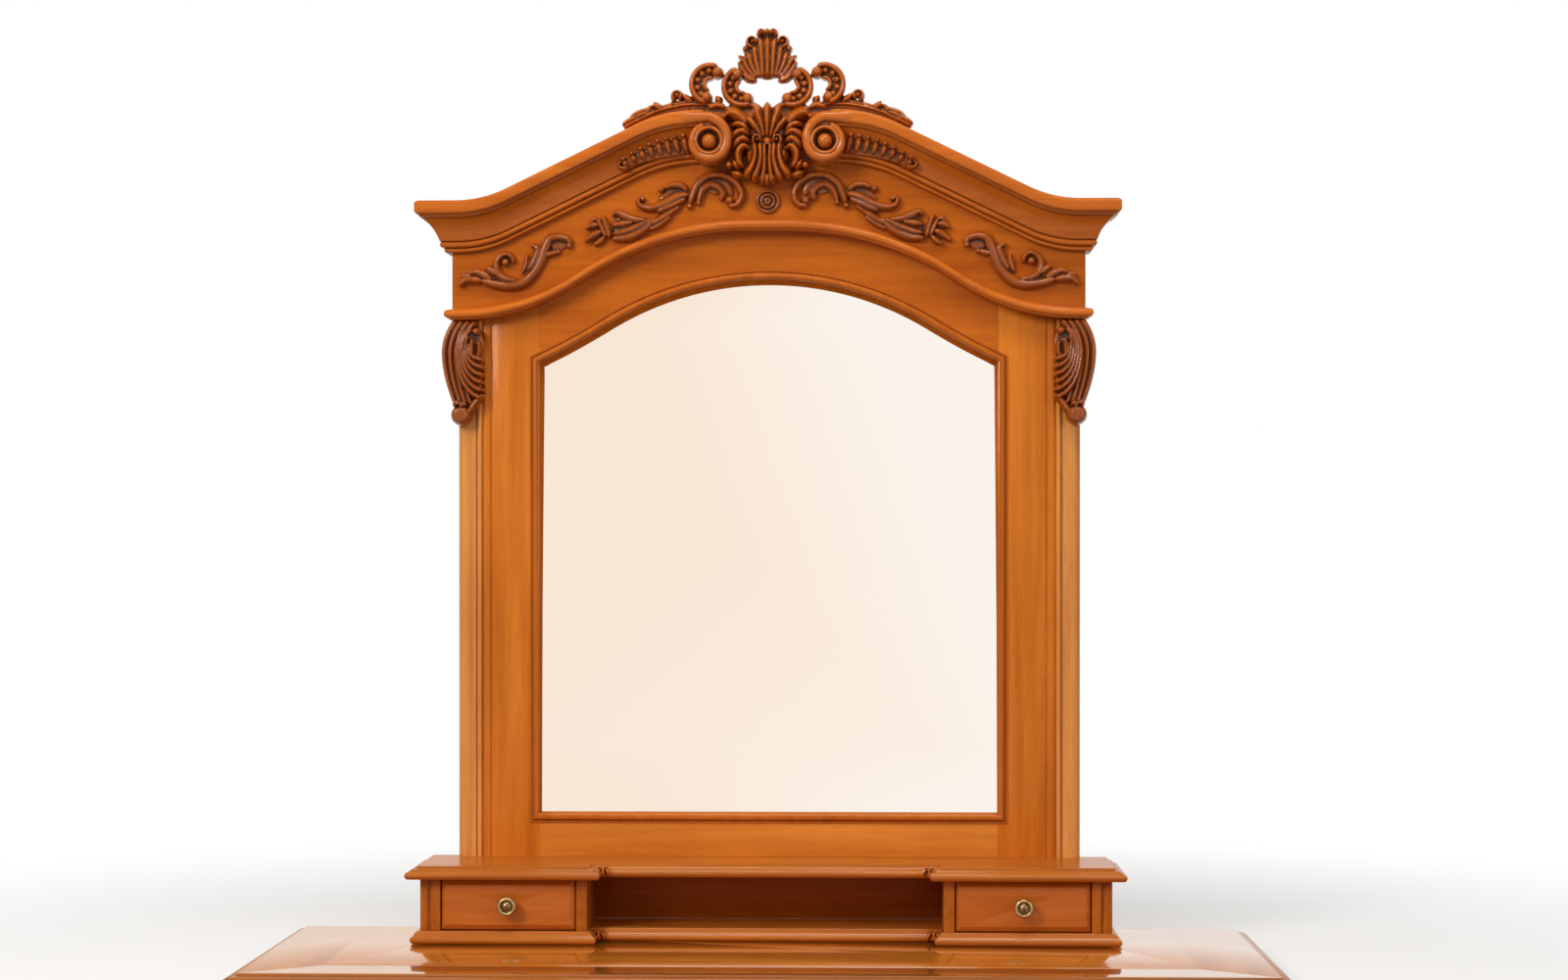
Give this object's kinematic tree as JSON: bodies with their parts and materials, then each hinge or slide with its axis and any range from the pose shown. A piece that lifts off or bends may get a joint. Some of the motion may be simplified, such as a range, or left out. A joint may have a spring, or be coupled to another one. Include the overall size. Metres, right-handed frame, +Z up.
{
  "type": "dressing table mirror hutch",
  "caption": "Carved swan-neck mirror hutch on a moulded table top, with an arched fixed mirror, a break-front gallery, an open niche and sliding jewellery drawers.",
  "frame": {"origin": "middle of the table top's underside, at the middle of its depth over the moulded edge", "axes": "+X to the viewer's right along the table top, +Y to the back, +Z up"},
  "size_m": [1.286, 0.448, 1.2299],
  "materials": {
    "lacquered_wood": "gloss lacquer",
    "top_wood": "high gloss lacquer",
    "border_wood": "high gloss lacquer",
    "carved_wood": "gloss lacquer over dark stain",
    "dark_wood": "satin stained",
    "drawer_wood": "unfinished",
    "mirror": "silvered",
    "hardboard": "raw",
    "brass": "antiqued",
    "steel": "zinc plated"
  },
  "bodies": {
    "hutch": {"top_panel": "top_wood", "left_border": "border_wood", "right_border": "border_wood", "front_border": "border_wood", "left_top_edge": "lacquered_wood", "right_top_edge": "lacquered_wood", "front_top_edge": "lacquered_wood", "base_board": "lacquered_wood", "gallery_back": "dark_wood", "shelf": "lacquered_wood", "corner_leaves": "carved_wood", "left_case_outer_side": "lacquered_wood", "right_case_outer_side": "lacquered_wood", "left_case_inner_side": "lacquered_wood", "right_case_inner_side": "lacquered_wood", "left_case_stile": "lacquered_wood", "right_case_stile": "lacquered_wood", "drawer_runners": "drawer_wood", "drawer_stops": "drawer_wood", "left_stile": "lacquered_wood", "right_stile": "lacquered_wood", "bottom_rail": "lacquered_wood", "top_rail": "lacquered_wood", "left_pilaster": "lacquered_wood", "right_pilaster": "lacquered_wood", "sight_bead": "lacquered_wood", "mirror_glass": "mirror", "mirror_backboard": "hardboard", "backboard_clips": "steel", "clip_screws": "brass", "left_batten": "drawer_wood", "right_batten": "drawer_wood", "assembly_screws": "steel", "frieze_board": "lacquered_wood", "neck_bead": "lacquered_wood", "left_cornice": "lacquered_wood", "right_cornice": "lacquered_wood", "left_volute": "lacquered_wood", "right_volute": "lacquered_wood", "crest_carving": "carved_wood", "centre_cartouche": "carved_wood", "cove_feathers": "carved_wood", "inner_sprays": "carved_wood", "outer_sprays": "carved_wood", "frieze_rosette": "carved_wood", "left_corbel": "carved_wood", "right_corbel": "carved_wood"},
    "left_drawer": {"left_drawer_front": "lacquered_wood", "left_drawer_sides": "drawer_wood", "left_drawer_back": "drawer_wood", "left_drawer_bottom": "drawer_wood", "left_knob": "brass", "left_knob_screw": "steel"},
    "right_drawer": {"right_drawer_front": "lacquered_wood", "right_drawer_sides": "drawer_wood", "right_drawer_back": "drawer_wood", "right_drawer_bottom": "drawer_wood", "right_knob": "brass", "right_knob_screw": "steel"}
  },
  "joints": [
    {"name": "left_drawer_slide", "type": "slide", "parent": "hutch", "child": "left_drawer", "axis": [0, -1, 0], "range_m": [0, 0.0915]},
    {"name": "right_drawer_slide", "type": "slide", "parent": "hutch", "child": "right_drawer", "axis": [0, -1, 0], "range_m": [0, 0.0915]}
  ]
}
